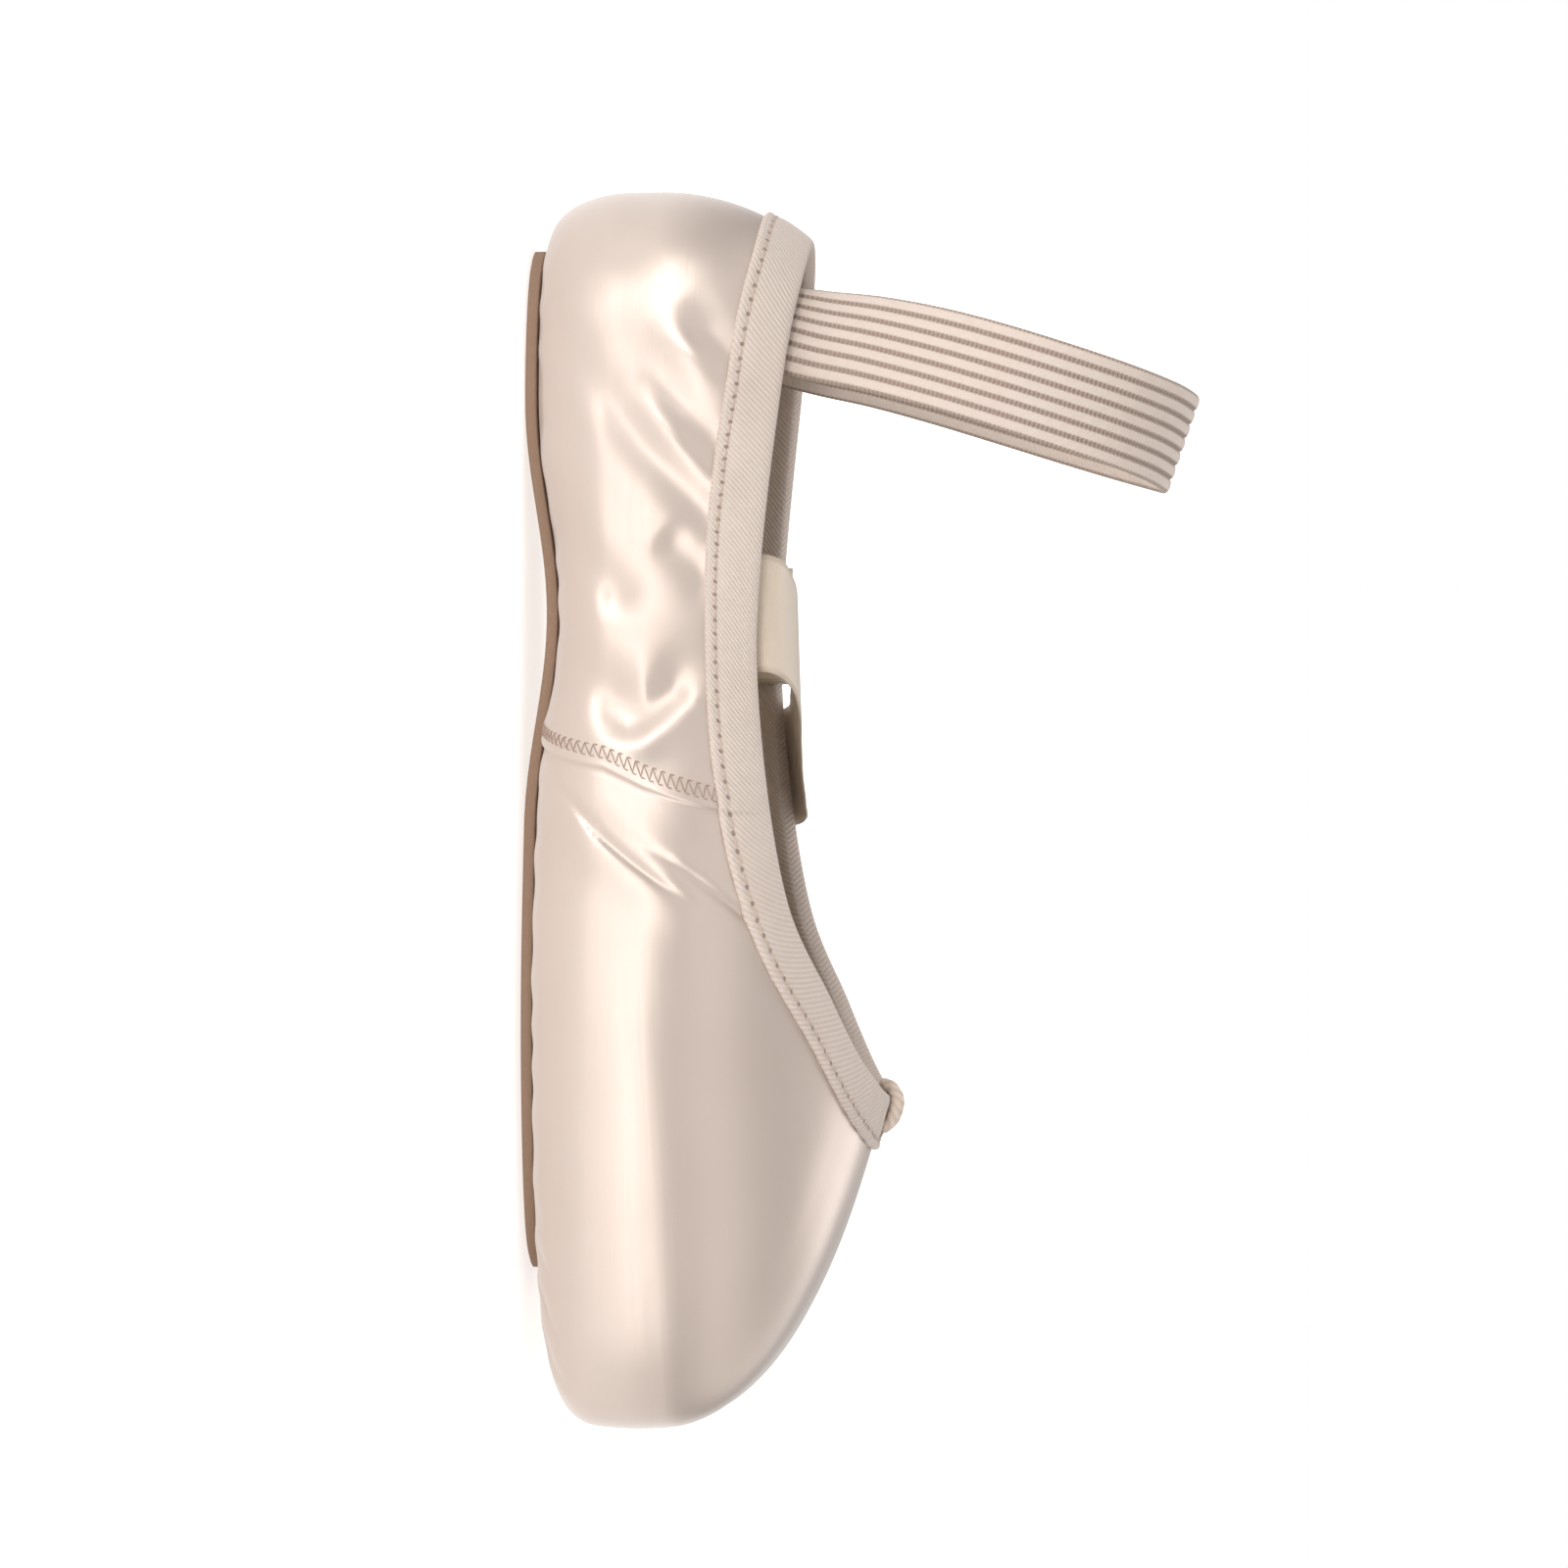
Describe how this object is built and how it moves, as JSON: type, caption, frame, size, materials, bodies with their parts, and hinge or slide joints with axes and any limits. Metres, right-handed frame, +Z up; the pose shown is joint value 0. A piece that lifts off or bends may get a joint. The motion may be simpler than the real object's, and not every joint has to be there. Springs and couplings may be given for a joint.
{
  "type": "pointe shoe",
  "caption": "Satin pointe shoe with flat toe platform, leather sole, taped collar with drawstring knot, heel elastic and loose ankle ribbons, standing empty on its sole.",
  "frame": {"origin": "on the floor under the middle of the shoe, midway between heel and platform and on the centre line", "axes": "+X to the toe platform, +Y to the outer side of the left foot, +Z up"},
  "size_m": [0.2301, 0.255, 0.1249],
  "materials": {
    "satin": "pale pink-beige satin with a soft sheen",
    "sole_leather": "brown suede-faced leather",
    "sock_lining": "plain cream cotton",
    "twill_tape": "matte cotton twill",
    "drawstring": "soft cotton cord",
    "ribbed_elastic": "ribbed woven elastic",
    "ribbon": "fine cross-ribbed satin ribbon"
  },
  "bodies": {
    "root": {"upper": "satin", "outsole": "sole_leather", "insole": "sock_lining", "collar_binding": "twill_tape", "drawstring_knot": "drawstring", "heel_elastic": "ribbed_elastic", "ribbon_inner": "ribbon", "ribbon_outer": "ribbon"}
  },
  "joints": []
}
